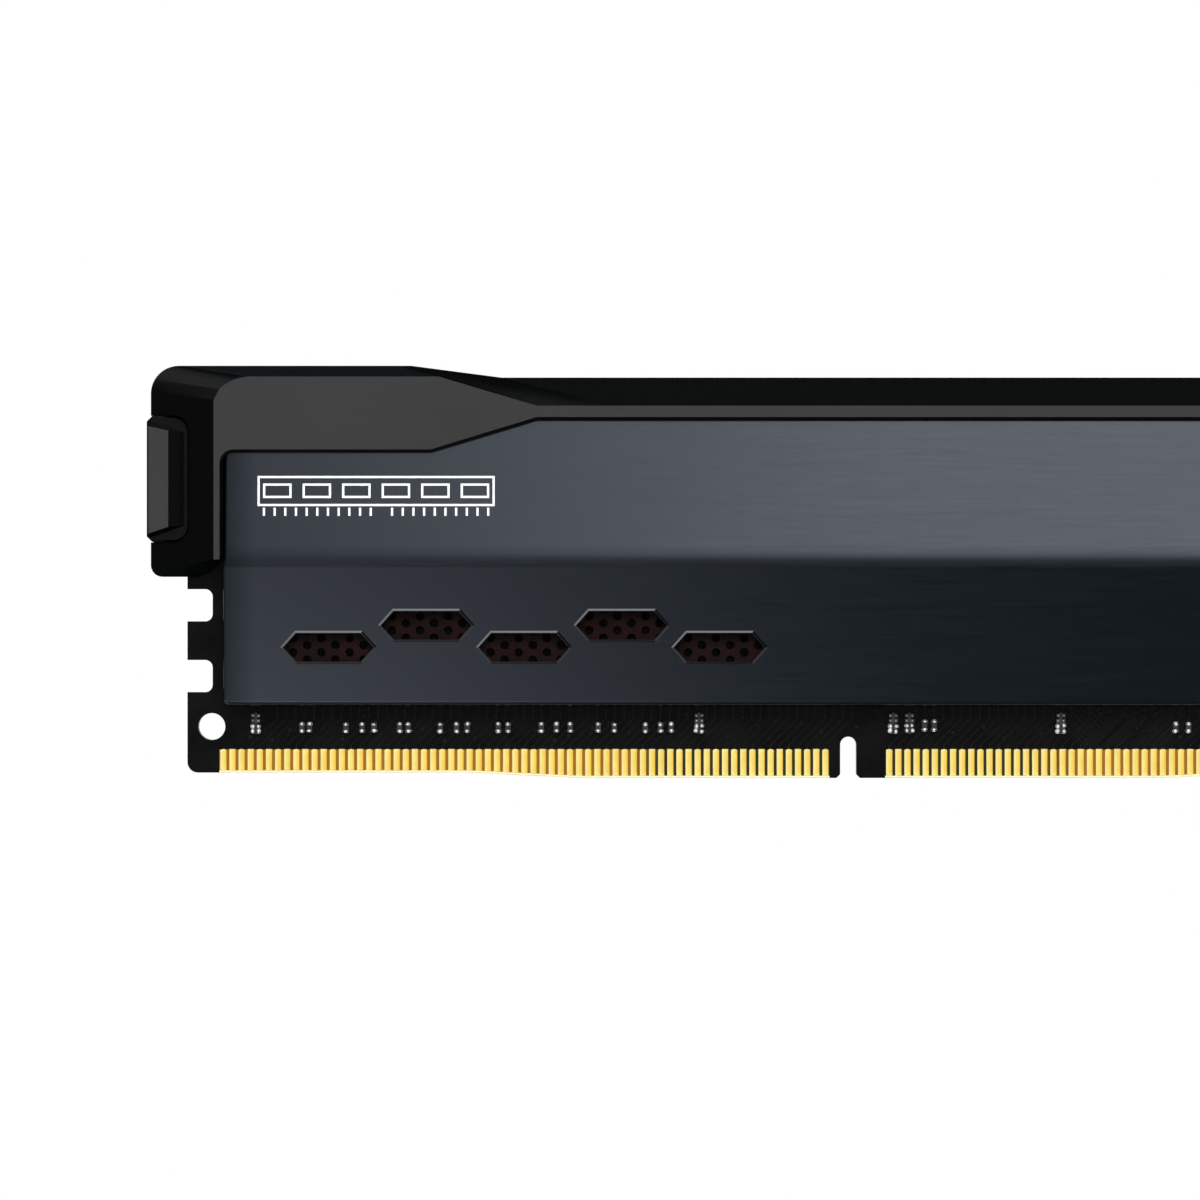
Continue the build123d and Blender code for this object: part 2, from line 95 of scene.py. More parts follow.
class Graph:
    """Short-hand for filling a node tree."""

    def __init__(self, tree: bpy.types.NodeTree) -> None:
        """Keep the tree that nodes are added to."""
        self.tree = tree

    def add(self, kind: str, **settings: object) -> bpy.types.Node:
        """Add a node and set its properties.

        Args:
            kind: the node's type name.
            settings: property names and values of the node.

        Returns:
            The new node.
        """
        node = self.tree.nodes.new(kind)
        for name, value in settings.items():
            setattr(node, name, value)
        return node

    def feed(self, socket: bpy.types.NodeSocket, source: object) -> None:
        """Link a socket to another, or set its value.

        Args:
            socket: the input to fill.
            source: an output socket, a number or a colour.
        """
        if isinstance(source, bpy.types.NodeSocket):
            self.tree.links.new(source, socket)
        elif isinstance(source, tuple) and len(source) == 3 and socket.type == "RGBA":
            socket.default_value = (*source, 1.0)
        else:
            socket.default_value = source

    def math(self, operation: str, *values: object, clamp: bool = False) -> bpy.types.NodeSocket:
        """A math node's output.

        Args:
            operation: the node's operation.
            values: numbers or sockets for its inputs, in order.
            clamp: whether the result is kept between 0 and 1.

        Returns:
            The output socket.
        """
        node = self.add("ShaderNodeMath", operation=operation, use_clamp=clamp)
        for index, value in enumerate(values):
            self.feed(node.inputs[index], value)
        return node.outputs[0]

    def mix(self, factor: object, first: object, second: object) -> bpy.types.NodeSocket:
        """Blend two colours.

        Args:
            factor: 0 gives the first colour and 1 the second.
            first: a colour or socket.
            second: a colour or socket.

        Returns:
            The blended colour socket.
        """
        node = self.add("ShaderNodeMix", data_type="RGBA")
        self.feed(node.inputs[0], factor)
        self.feed(node.inputs[6], first)
        self.feed(node.inputs[7], second)
        return node.outputs[2]

    def span(self, value: object, low: object, high: object, to_low: float, to_high: float
             ) -> bpy.types.NodeSocket:
        """Carry a value from one range to another, clamped.

        Args:
            value: the number or socket to carry.
            low: start of the incoming range, a number or a socket.
            high: end of the incoming range, a number or a socket.
            to_low: what low becomes.
            to_high: what high becomes.

        Returns:
            The carried value's socket.
        """
        node = self.add("ShaderNodeMapRange", clamp=True)
        for index, item in enumerate((value, low, high, to_low, to_high)):
            self.feed(node.inputs[index], item)
        return node.outputs[0]


def make_group(
    name: str,
    inputs: Sequence[tuple[str, str, object]],
    outputs: Sequence[tuple[str, str]],
    fill: Callable[[Graph, bpy.types.Node, bpy.types.Node], None],
) -> bpy.types.NodeTree:
    """Build a shader node group once.

    Args:
        name: the group's name.
        inputs: (name, socket type, default) of each input.
        outputs: (name, socket type) of each output.
        fill: adds the nodes between the group's input and output nodes.

    Returns:
        The node group.
    """
    known = bpy.data.node_groups.get(name)
    if known:
        return known
    tree = bpy.data.node_groups.new(name, "ShaderNodeTree")
    for label, kind, default in inputs:
        socket = tree.interface.new_socket(name=label, in_out="INPUT", socket_type=kind)
        socket.default_value = (*default, 1.0) if isinstance(default, tuple) else default
    for label, kind in outputs:
        tree.interface.new_socket(name=label, in_out="OUTPUT", socket_type=kind)
    graph = Graph(tree)
    fill(graph, graph.add("NodeGroupInput"), graph.add("NodeGroupOutput"))
    return tree


FLOAT = "NodeSocketFloat"
COLOUR = "NodeSocketColor"

BROAD_SHARE = 0.6  # of the broad noise in a mottle, the rest is fine grain
BROAD_DETAIL = 3.0
FINE_DETAIL = 2.0
MOTTLE_LIMITS = (0.38, 0.62)
BRUSH_STRETCH = (0.035, 1.0, 1.0)  # brushed lines run along X
BRUSH_OCTAVES = ((0.6, 1.0), (0.4, 3.1))  # share and fineness of each set of lines
BRUSH_DETAIL = 4.0
BRUSH_HARSHNESS = 0.7
BRUSH_LIMITS = (0.35, 0.65)
WEAR_SAMPLES = 4
WEAR_LIMITS = (0.35, 0.75)
WEAR_DETAIL = 4.0
WEAR_BREAK_LIMITS = (0.42, 0.6)


def mottle_group() -> bpy.types.NodeTree:
    """Uneven tone and fine grain of a moulded, plated or lacquered surface.

    Returns:
        The node group.
    """

    def fill(graph: Graph, source: bpy.types.Node, sink: bpy.types.Node) -> None:
        """Blend a broad and a fine noise into a colour, a roughness and a height.

        Args:
            graph: the group's graph.
            source: its input node.
            sink: its output node.
        """
        place = graph.add("ShaderNodeTexCoord").outputs["Object"]
        broad = graph.add("ShaderNodeTexNoise")
        graph.feed(broad.inputs["Vector"], place)
        graph.feed(broad.inputs["Scale"], source.outputs["Patch Scale"])
        graph.feed(broad.inputs["Detail"], BROAD_DETAIL)
        fine = graph.add("ShaderNodeTexNoise")
        graph.feed(fine.inputs["Vector"], place)
        graph.feed(fine.inputs["Scale"], source.outputs["Grain Scale"])
        graph.feed(fine.inputs["Detail"], FINE_DETAIL)
        grain = graph.math("MULTIPLY", fine.outputs["Fac"], 1.0 - BROAD_SHARE)
        both = graph.math("MULTIPLY_ADD", broad.outputs["Fac"], BROAD_SHARE, grain)
        mask = graph.span(both, *MOTTLE_LIMITS, 0.0, 1.0)
        amount = graph.math("MULTIPLY", mask, source.outputs["Amount"])
        graph.feed(sink.inputs["Colour"], graph.mix(
            amount, source.outputs["Colour"], source.outputs["Second Colour"]))
        rough = graph.math("SUBTRACT", mask, 0.5)
        rough = graph.math("MULTIPLY_ADD", rough, source.outputs["Roughness Swing"],
                           source.outputs["Roughness"])
        graph.feed(sink.inputs["Roughness"], rough)
        graph.feed(sink.inputs["Height"], fine.outputs["Fac"])

    return make_group(
        "surface_mottle",
        (
            ("Colour", COLOUR, (0.5, 0.5, 0.5)),
            ("Second Colour", COLOUR, (0.4, 0.4, 0.4)),
            ("Amount", FLOAT, 1.0),
            ("Roughness", FLOAT, 0.4),
            ("Roughness Swing", FLOAT, 0.1),
            ("Patch Scale", FLOAT, 60.0),
            ("Grain Scale", FLOAT, 6000.0),
        ),
        (("Colour", COLOUR), ("Roughness", FLOAT), ("Height", FLOAT)),
        fill,
    )


def brushing_group() -> bpy.types.NodeTree:
    """Fine straight brushing along X, for the plates.

    Returns:
        The node group.
    """

    def fill(graph: Graph, source: bpy.types.Node, sink: bpy.types.Node) -> None:
        """Stretch a noise along X and break it with a second, finer one.

        Args:
            graph: the group's graph.
            source: its input node.
            sink: its output node.
        """
        place = graph.add("ShaderNodeTexCoord").outputs["Object"]
        stretch = graph.add("ShaderNodeVectorMath", operation="MULTIPLY")
        graph.feed(stretch.inputs[0], place)
        stretch.inputs[1].default_value = BRUSH_STRETCH
        total: object = 0.0
        for share, octave in BRUSH_OCTAVES:
            noise = graph.add("ShaderNodeTexNoise")
            graph.feed(noise.inputs["Vector"], stretch.outputs[0])
            graph.feed(noise.inputs["Scale"], graph.math("MULTIPLY", source.outputs["Lines"], octave))
            graph.feed(noise.inputs["Detail"], BRUSH_DETAIL)
            graph.feed(noise.inputs["Roughness"], BRUSH_HARSHNESS)
            total = graph.math("MULTIPLY_ADD", noise.outputs["Fac"], share, total)
        graph.feed(sink.inputs["Mask"], graph.span(total, *BRUSH_LIMITS, 0.0, 1.0))
        graph.feed(sink.inputs["Height"], total)

    return make_group(
        "fine_brushing",
        (("Lines", FLOAT, 4000.0),),
        (("Mask", FLOAT), ("Height", FLOAT)),
        fill,
    )


def edge_wear_group() -> bpy.types.NodeTree:
    """A broken mask on the outer edges, where a finish rubs thin.

    Returns:
        The node group.
    """

    def fill(graph: Graph, source: bpy.types.Node, sink: bpy.types.Node) -> None:
        """Find convex edges from inside the piece, and break them with noise.

        Args:
            graph: the group's graph.
            source: its input node.
            sink: its output node.
        """
        edges = graph.add(
            "ShaderNodeAmbientOcclusion", samples=WEAR_SAMPLES, inside=True, only_local=True,
        )
        graph.feed(edges.inputs["Distance"], source.outputs["Width"])
        found = graph.span(edges.outputs["AO"], *WEAR_LIMITS, 1.0, 0.0)
        noise = graph.add("ShaderNodeTexNoise")
        graph.feed(noise.inputs["Vector"], graph.add("ShaderNodeTexCoord").outputs["Object"])
        graph.feed(noise.inputs["Scale"], source.outputs["Breaks"])
        graph.feed(noise.inputs["Detail"], WEAR_DETAIL)
        broken = graph.span(noise.outputs["Fac"], *WEAR_BREAK_LIMITS, 0.0, 1.0)
        mask = graph.math("MULTIPLY", found, broken)
        graph.feed(sink.inputs["Mask"], graph.math("MULTIPLY", mask, source.outputs["Amount"]))

    return make_group(
        "edge_wear",
        (("Width", FLOAT, 0.0003), ("Breaks", FLOAT, 900.0), ("Amount", FLOAT, 0.5)),
        (("Mask", FLOAT),),
        fill,
    )


def facing_group() -> bpy.types.NodeTree:
    """A mask of what looks squarely along the module's thickness, to either side.

    Returns:
        The node group.
    """

    def fill(graph: Graph, source: bpy.types.Node, sink: bpy.types.Node) -> None:
        """Carry the size of the normal's Y from the two limits to 0 and 1.

        Args:
            graph: the group's graph.
            source: its input node.
            sink: its output node.
        """
        normal = graph.add("ShaderNodeSeparateXYZ")
        graph.feed(normal.inputs[0], graph.add("ShaderNodeTexCoord").outputs["Normal"])
        straight = graph.math("ABSOLUTE", normal.outputs["Y"])
        mask = graph.span(straight, source.outputs["Low"], source.outputs["High"], 0.0, 1.0)
        graph.feed(sink.inputs["Mask"], mask)

    return make_group(
        "square_facing",
        (("Low", FLOAT, 0.8), ("High", FLOAT, 0.95)),
        (("Mask", FLOAT),),
        fill,
    )


@dataclass(frozen=True)
class Finish:
    """A material: a mottled base colour with grain, and plain gloss settings."""

    name: str
    colour: Colour
    second: Colour
    roughness: float = 0.4
    swing: float = 0.1
    metallic: float = 0.0
    patch_scale: float = 60.0
    grain_scale: float = 6000.0
    bump: float = 0.1
    bump_depth: float = 0.00002
    coat: float = 0.0
    specular: float = 0.5
    wear: float = 0.0
    wear_colour: Colour = (0.3, 0.3, 0.3)

    def material(self) -> bpy.types.Material:
        """Build this finish's material the first time it is asked for.

        Returns:
            The material, the same one each time.
        """
        known = bpy.data.materials.get(self.name)
        if known:
            return known
        made = bpy.data.materials.new(self.name)
        made.use_nodes = True
        made.node_tree.nodes.clear()
        graph = Graph(made.node_tree)
        shader = graph.add("ShaderNodeBsdfPrincipled")
        sink = graph.add("ShaderNodeOutputMaterial")
        graph.feed(sink.inputs["Surface"], shader.outputs[0])
        shader.inputs["Metallic"].default_value = self.metallic
        shader.inputs["Coat Weight"].default_value = self.coat
        colour, roughness, height = self.surface(graph)
        if self.wear > 0.0:
            worn = self.group(graph, edge_wear_group(), Amount=self.wear)
            colour = graph.mix(worn.outputs["Mask"], colour, self.wear_colour)
        shader.inputs["Specular IOR Level"].default_value = self.specular
        colour, roughness = self.extra(graph, shader, colour, roughness)
        graph.feed(shader.inputs["Base Color"], colour)
        graph.feed(shader.inputs["Roughness"], roughness)
        relief = graph.add("ShaderNodeBump")
        graph.feed(relief.inputs["Strength"], self.bump)
        graph.feed(relief.inputs["Distance"], self.bump_depth)
        graph.feed(relief.inputs["Height"], height)
        graph.feed(shader.inputs["Normal"], relief.outputs[0])
        return made

    @staticmethod
    def group(graph: Graph, tree: bpy.types.NodeTree, **values: object) -> bpy.types.Node:
        """Place a node group and fill its inputs.

        Args:
            graph: where the group goes.
            tree: the group.
            values: input names, with _ for a space, and their values.

        Returns:
            The group's node.
        """
        node = graph.add("ShaderNodeGroup", node_tree=tree)
        for name, value in values.items():
            graph.feed(node.inputs[name.replace("_", " ")], value)
        return node

    def surface(self, graph: Graph) -> tuple[object, object, object]:
        """Mottled colour, roughness and height of the finish.

        Args:
            graph: the material's graph.

        Returns:
            The colour, roughness and height sockets.
        """
        mottle = self.group(
            graph, mottle_group(), Colour=self.colour, Second_Colour=self.second,
            Roughness=self.roughness, Roughness_Swing=self.swing,
            Patch_Scale=self.patch_scale, Grain_Scale=self.grain_scale,
        )
        return mottle.outputs["Colour"], mottle.outputs["Roughness"], mottle.outputs["Height"]

    def extra(self, graph: Graph, shader: bpy.types.Node, colour: object, roughness: object
              ) -> tuple[object, object]:
        """What a special finish adds to the colour and roughness; a plain finish adds nothing."""
        return colour, roughness


@dataclass(frozen=True)
class BrushedFinish(Finish):
    """Anodised aluminium with fine straight brushing, and painted shade darkening it towards both ends of
    a plate.
    """

    lines: float = 4000.0
    line_contrast: float = 0.35
    line_share: float = 0.5
    line_roughness: float = 0.05
    cut_colour: Colour = (0.105, 0.104, 0.104)
    cut_limits: tuple[float, float] = (0.8, 0.93)
    # Painted shade: the colour the plate darkens to near its ends, where that happens, and how strongly.
    painted_end_shade_colour: Colour = (0.034, 0.044, 0.055)
    painted_end_shade_span: tuple[float, float] = (60.2, 63.2)
    painted_end_shade_amount: float = 0.9

    def extra(self, graph: Graph, shader: bpy.types.Node, colour: object, roughness: object
              ) -> tuple[object, object]:
        """Add brushed lines, painted shade towards the ends and bare cut faces.

        Args:
            graph: the material's graph.
            shader: its Principled BSDF.
            colour: the colour so far.
            roughness: the roughness so far.

        Returns:
            The colour and roughness to use.
        """
        lines = self.group(graph, brushing_group(), Lines=self.lines)
        dark = tuple(channel * (1.0 - self.line_contrast) for channel in self.colour)
        streak = graph.math("MULTIPLY", lines.outputs["Mask"], self.line_share)
        colour = graph.mix(streak, colour, dark)
        place = graph.add("ShaderNodeSeparateXYZ")
        graph.feed(place.inputs[0], graph.add("ShaderNodeTexCoord").outputs["Object"])
        along = graph.math("ABSOLUTE", place.outputs["X"])
        # Painted shade towards both ends of the plate.
        inner, outer = (end * MM for end in self.painted_end_shade_span)
        colour = graph.mix(graph.span(along, inner, outer, 0.0, self.painted_end_shade_amount), colour, self.painted_end_shade_colour)
        low, high = self.cut_limits
        skin = self.group(graph, facing_group(), Low=low, High=high)
        colour = graph.mix(skin.outputs["Mask"], self.cut_colour, colour)
        roughness = graph.math("MULTIPLY_ADD", lines.outputs["Mask"], self.line_roughness, roughness)
        return colour, roughness


@dataclass(frozen=True)
class PaintedLitFaceFinish(Finish):
    """One black plastic: a satin grey painted as light where the piece faces straight out, and black
    painted as shade on its bevels.
    """

    # Painted shade: the near-black given to every bevel.
    painted_bevel_shade: Colour = (0.004, 0.004, 0.004)
    bevel_roughness: float = 0.35
    face_depth: float = 0.0
    face_limits: tuple[float, float] = (0.95, 0.99)

    def extra(self, graph: Graph, shader: bpy.types.Node, colour: object, roughness: object
              ) -> tuple[object, object]:
        """Paint shade in black on what doesn't look straight along Y, and keep the painted lit grey where
        it does.

        Args:
            graph: the material's graph.
            shader: its Principled BSDF.
            colour: the colour so far.
            roughness: the roughness so far.

        Returns:
            The colour and roughness to use.
        """
        low, high = self.face_limits
        square = self.group(graph, facing_group(), Low=low, High=high)
        place = graph.add("ShaderNodeSeparateXYZ")
        graph.feed(place.inputs[0], graph.add("ShaderNodeTexCoord").outputs["Object"])
        depth = graph.math("ABSOLUTE", place.outputs["Y"])
        outer = graph.math("GREATER_THAN", depth, self.face_depth * MM)
        # Painted light: grey on the faces that look straight out; everything else takes the painted
        # shade.
        flat = graph.math("MULTIPLY", square.outputs["Mask"], outer)
        colour = graph.mix(flat, self.painted_bevel_shade, colour)
        rough = graph.math("SUBTRACT", roughness, self.bevel_roughness)
        rough = graph.math("MULTIPLY_ADD", rough, flat, self.bevel_roughness)
        return colour, rough


@dataclass(frozen=True)
class BoardFinish(Finish):
    """Solder mask over copper, with bare laminate between the contacts, and on the bevel laminate painted
    pale as light.
    """

    laminate: Colour = (0.27, 0.115, 0.013)
    middle_laminate: Colour = (0.03, 0.028, 0.012)
    # The bevel's laminate colour: the laminate's own yellowish tone, painted much paler as light.
    bevel_laminate: Colour = (1.0, 0.88, 0.52)
    middle_span: tuple[float, float, float, float] = (-25.5, -22.5, 12.0, 17.0)
    window_top: float = 2.66
    bevel_top: float = 0.21
    step: float = 0.5
    row_ends: tuple[float, float, float, float] = (-63.7, -6.85, -1.65, 63.7)
    ramps: tuple[float, float, float, float] = (-40.375, -30.175, 24.225, 34.425)

    def extra(self, graph: Graph, shader: bpy.types.Node, colour: object, roughness: object
              ) -> tuple[object, object]:
        """Uncover the laminate in the contact window, and on the lead-in bevel give it a pale tone that
        is partly its own and partly painted light.

        Args:
            graph: the material's graph.
            shader: its Principled BSDF.
            colour: the colour so far.
            roughness: the roughness so far.

        Returns:
            The colour and roughness to use.
        """
        place = graph.add("ShaderNodeSeparateXYZ")
        graph.feed(place.inputs[0], graph.add("ShaderNodeTexCoord").outputs["Object"])
        x, z = place.outputs["X"], place.outputs["Z"]
        left, key_left, key_right, right = (end * MM for end in self.row_ends)
        short_row = graph.math("MULTIPLY", graph.math("GREATER_THAN", x, left),
                               graph.math("LESS_THAN", x, key_left))
        long_row = graph.math("MULTIPLY", graph.math("GREATER_THAN", x, key_right),
                              graph.math("LESS_THAN", x, right))
        rows = graph.math("ADD", short_row, long_row)
        window = graph.math("MULTIPLY", rows, graph.math("LESS_THAN", z, self.window_top * MM))
        first, second, third, fourth = (end * MM for end in self.middle_span)
        middle = graph.math("MULTIPLY", graph.span(x, first, second, 0.0, 1.0),
                            graph.span(x, third, fourth, 1.0, 0.0))
        laminate = graph.mix(middle, self.laminate, self.middle_laminate)
        colour = graph.mix(window, colour, laminate)
        outer_left, low_left, low_right, outer_right = (end * MM for end in self.ramps)
        rise = graph.math("ADD", graph.span(x, outer_left, low_left, self.step * MM, 0.0),
                          graph.span(x, low_right, outer_right, 0.0, self.step * MM))
        over_edge = graph.math("SUBTRACT", z, rise)
        bevel = graph.math("MULTIPLY", rows, graph.math("LESS_THAN", over_edge, self.bevel_top * MM))
        # Painted light: the bevel band takes the pale laminate colour.
        return graph.mix(bevel, colour, self.bevel_laminate), roughness


@dataclass(frozen=True)
class GoldFinish(Finish):
    """Gold plating, with painted highlight along each contact's left side and at its two ends, and
    painted shade on its right.

    Across one pitch, the painted highlight on the left and the painted shade on the right each have a
    start, an end and a strength; ends is the share of the half height where the end highlight begins, and
    its strength.
    """

    # Painted highlight and painted shade colours of the gold.
    painted_highlight_gold: Colour = (1.0, 0.88, 0.44)
    painted_shade_gold: Colour = (0.92, 0.50, 0.03)
    painted_highlight_side: tuple[float, float, float] = (0.22, 0.5, 0.75)
    painted_shade_side: tuple[float, float, float] = (0.58, 0.82, 0.8)
    ends: tuple[float, float] = (0.7, 0.6)
    first_x: float = -63.325
    pitch: float = 0.85
    middle_z: float = 1.5
    half_height: float = 1.3

    def extra(self, graph: Graph, shader: bpy.types.Node, colour: object, roughness: object
              ) -> tuple[object, object]:
        """Paint highlight and shade across each contact's width, and highlight towards its ends.

        Args:
            graph: the material's graph.
            shader: its Principled BSDF.
            colour: the colour so far.
            roughness: the roughness so far.

        Returns:
            The colour and roughness to use.
        """
        place = graph.add("ShaderNodeSeparateXYZ")
        graph.feed(place.inputs[0], graph.add("ShaderNodeTexCoord").outputs["Object"])
        across = graph.math("SUBTRACT", place.outputs["X"], (self.first_x - self.pitch / 2) * MM)
        across = graph.math("FRACT", graph.math("DIVIDE", across, self.pitch * MM))
        # Painted highlight along the left side of each contact.
        start, end, strength = self.painted_highlight_side
        colour = graph.mix(graph.span(across, start, end, strength, 0.0), colour, self.painted_highlight_gold)
        # Painted shade along the right side of each contact.
        start, end, strength = self.painted_shade_side
        colour = graph.mix(graph.span(across, start, end, 0.0, strength), colour, self.painted_shade_gold)
        away = graph.math("SUBTRACT", place.outputs["Z"], self.middle_z * MM)
        away = graph.math("ABSOLUTE", away)
        # Painted highlight towards both ends of each contact.
        share, strength = self.ends
        half = self.half_height * MM
        ends = graph.span(away, share * half, half, 0.0, strength)
        return graph.mix(ends, colour, self.painted_highlight_gold), roughness


@dataclass(frozen=True)
class SheetFinish(Finish):
    """Perforated sheet: dark skin with brighter metal on the walls of its holes."""

    wall_colour: Colour = (0.12, 0.12, 0.1)
    wall_limits: tuple[float, float] = (0.2, 0.6)

    def extra(self, graph: Graph, shader: bpy.types.Node, colour: object, roughness: object
              ) -> tuple[object, object]:
        """Brighten what looks along the sheet.

        Args:
            graph: the material's graph.
            shader: its Principled BSDF.
            colour: the colour so far.
            roughness: the roughness so far.

        Returns:
            The colour and roughness to use.
        """
        low, high = self.wall_limits
        skin = self.group(graph, facing_group(), Low=low, High=high)
        return graph.mix(skin.outputs["Mask"], self.wall_colour, colour), roughness


SOLDER_MASK = BoardFinish(
    "black_solder_mask", (0.0018, 0.0018, 0.0017), (0.0034, 0.0033, 0.003), roughness=0.3, swing=0.12,
    patch_scale=350.0, grain_scale=9000.0, bump=0.25, specular=0.1,
)
TRACK_MASK = Finish(
    "masked_tracks", (0.0042, 0.0041, 0.0038), (0.0072, 0.007, 0.0062), roughness=0.3, swing=0.1,
    patch_scale=500.0, grain_scale=9000.0, bump=0.15, specular=0.15,
)
GOLD = GoldFinish(
    "gold_plating", (1.0, 0.72, 0.12), (1.0, 0.78, 0.19), roughness=0.46, swing=0.1, metallic=0.6,
    patch_scale=900.0, grain_scale=12000.0, bump=0.12,
)
# Painted highlight: the solder is given a near-white, almost non-metal colour so every cap reads as a
# bright glint; real solder is silvery.
TIN = Finish(
    "tinned_solder_painted_glint", (0.97, 0.97, 0.96), (0.8, 0.8, 0.8), roughness=0.36, swing=0.15, metallic=0.05,
    patch_scale=1500.0, grain_scale=15000.0, bump=0.2,
)
DULL_TIN = Finish(
    "dull_tin_plating", (0.16, 0.16, 0.16), (0.09, 0.09, 0.09), roughness=0.5, swing=0.15, metallic=0.8,
    patch_scale=1500.0, grain_scale=15000.0, bump=0.2,
)
CHIP_MOULD = Finish(
    "epoxy_mould", (0.018, 0.018, 0.019), (0.026, 0.026, 0.027), roughness=0.62, swing=0.1,
    patch_scale=300.0, grain_scale=14000.0, bump=0.4, wear=0.2, wear_colour=(0.06, 0.06, 0.06),
)
BLACK_CERAMIC = Finish(
    "glazed_resistor", (0.02, 0.02, 0.022), (0.035, 0.035, 0.036), roughness=0.3, swing=0.1,
    patch_scale=1200.0, grain_scale=15000.0, bump=0.15,
)
TAN_CERAMIC = Finish(
    "fired_capacitor_body", (0.026, 0.021, 0.016), (0.018, 0.0145, 0.011), roughness=0.5, swing=0.1,
    patch_scale=1200.0, grain_scale=15000.0, bump=0.2,
)
SILICONE = Finish(
    "thermal_silicone", (0.0010, 0.0010, 0.0012), (0.0018, 0.0018, 0.002), roughness=0.85, swing=0.1,
    patch_scale=150.0, grain_scale=5000.0, bump=0.5, specular=0.05,
)
PLATE = BrushedFinish(
    "anodised_brushed_plate", (0.106, 0.117, 0.139), (0.100, 0.111, 0.132), roughness=0.135,
    swing=0.01, metallic=1.0, patch_scale=45.0, grain_scale=7000.0, bump=0.02, line_contrast=0.2,
)
BRONZE_SHEET = SheetFinish(
    "dark_bronze_sheet", (0.0082, 0.0029, 0.0024), (0.0125, 0.0044, 0.0036), roughness=0.5, swing=0.1,
    patch_scale=600.0, grain_scale=9000.0, bump=0.2, specular=0.06,
)
# The frame's grey is painted light on its outward faces; its bevels take painted shade.
FRAME_PAINT = PaintedLitFaceFinish(
    "satin_black_frame", (0.033, 0.033, 0.033), (0.030, 0.030, 0.030), roughness=0.55, swing=0.06,
    patch_scale=80.0, grain_scale=9000.0, bump=0.15, painted_bevel_shade=(0.0006, 0.0006, 0.0006),
    specular=0.11,
)
# The lug's grey goes on its raised pad faces only, as painted light; everything else takes the
# near-black.
LUG_PAINT = PaintedLitFaceFinish(
    "satin_black_lug", (0.033, 0.033, 0.033), (0.030, 0.030, 0.030), roughness=0.5, swing=0.06,
    patch_scale=120.0, grain_scale=9000.0, bump=0.15, specular=0.15,
    painted_bevel_shade=(0.0012, 0.0012, 0.0012), face_depth=2.5,
)
PRINT_INK = Finish(
    "white_screen_ink", (0.93, 0.94, 0.95), (0.86, 0.87, 0.89), roughness=0.5, swing=0.1,
    patch_scale=500.0, grain_scale=9000.0, bump=0.3,
)
FLOOR_PAPER = Finish(
    "studio_floor", (0.93, 0.93, 0.93), (0.91, 0.91, 0.91), roughness=0.9, swing=0.05,
    patch_scale=8.0, grain_scale=400.0, bump=0.02,
)


# ------------------------------------------------------------------ mesh building


def dress(node: str, finish: Finish) -> None:
    """Give a CAD node a finish.

    Args:
        node: the node's name.
        finish: what it is made of.
    """
    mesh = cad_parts[node].data
    mesh.materials.clear()
    mesh.materials.append(finish.material())
    LOG.info("dressed %s in %s", node, finish.name)


def place_piece(name: str, shape: bmesh.types.BMesh, finish: Finish, smooth: bool = False
                ) -> bpy.types.Object:
    """Turn a bmesh into a piece that rides on the module.

    Args:
        name: the piece's name.
        shape: its mesh, in metres; it is freed here.
        finish: what it is made of.
        smooth: whether its faces are shaded smooth.

    Returns:
        The new object.
    """
    bmesh.ops.recalc_face_normals(shape, faces=shape.faces)
    mesh = bpy.data.meshes.new(name)
    shape.to_mesh(mesh)
    shape.free()
    for polygon in mesh.polygons:
        polygon.use_smooth = smooth
    mesh.materials.append(finish.material())
    piece = bpy.data.objects.new(name, mesh)
    bpy.context.scene.collection.objects.link(piece)
    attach(piece, "root")
    LOG.info("made %s with %d faces", name, len(mesh.polygons))
    return piece


def islands(node: str) -> list[tuple[Vector, Vector]]:
    """Boxes of the separate solids in a CAD node.

    Args:
        node: the node's name.

    Returns:
        The lowest and highest corner of each solid.
    """
    shape = bmesh.new()
    shape.from_mesh(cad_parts[node].data)
    bmesh.ops.remove_doubles(shape, verts=shape.verts, dist=WELD)
    seen: set[bmesh.types.BMVert] = set()
    boxes = []
    for start in shape.verts:
        if start in seen:
            continue
        seen.add(start)
        queue, found = [start], []
        while queue:
            vertex = queue.pop()
            found.append(vertex.co.copy())
            for edge in vertex.link_edges:
                other = edge.other_vert(vertex)
                if other not in seen:
                    seen.add(other)
                    queue.append(other)
        low = Vector([min(point[axis] for point in found) for axis in range(3)])
        high = Vector([max(point[axis] for point in found) for axis in range(3)])
        boxes.append((low, high))
    shape.free()
    return boxes


def add_prism(shape: bmesh.types.BMesh, outline: Sequence[tuple[float, float]],
              lift: Callable[[float], float], thickness: float, outward: float) -> None:
    """Add a flat prism whose outline lies over a face of the module.

    Args:
        shape: the mesh to add to.
        outline: the corners as (x, z), in order.
        lift: distance of the face from the middle of the board at height z.
        thickness: how far the prism stands off the face.
        outward: sign of Y out of the face.
    """
    inner = [shape.verts.new((x, outward * lift(z), z)) for x, z in outline]
    outer = [shape.verts.new((x, outward * (lift(z) + thickness), z)) for x, z in outline]
    shape.faces.new(inner)
    shape.faces.new(list(reversed(outer)))
    count = len(outline)
    for index in range(count):
        after = (index + 1) % count
        shape.faces.new((inner[after], inner[index], outer[index], outer[after]))


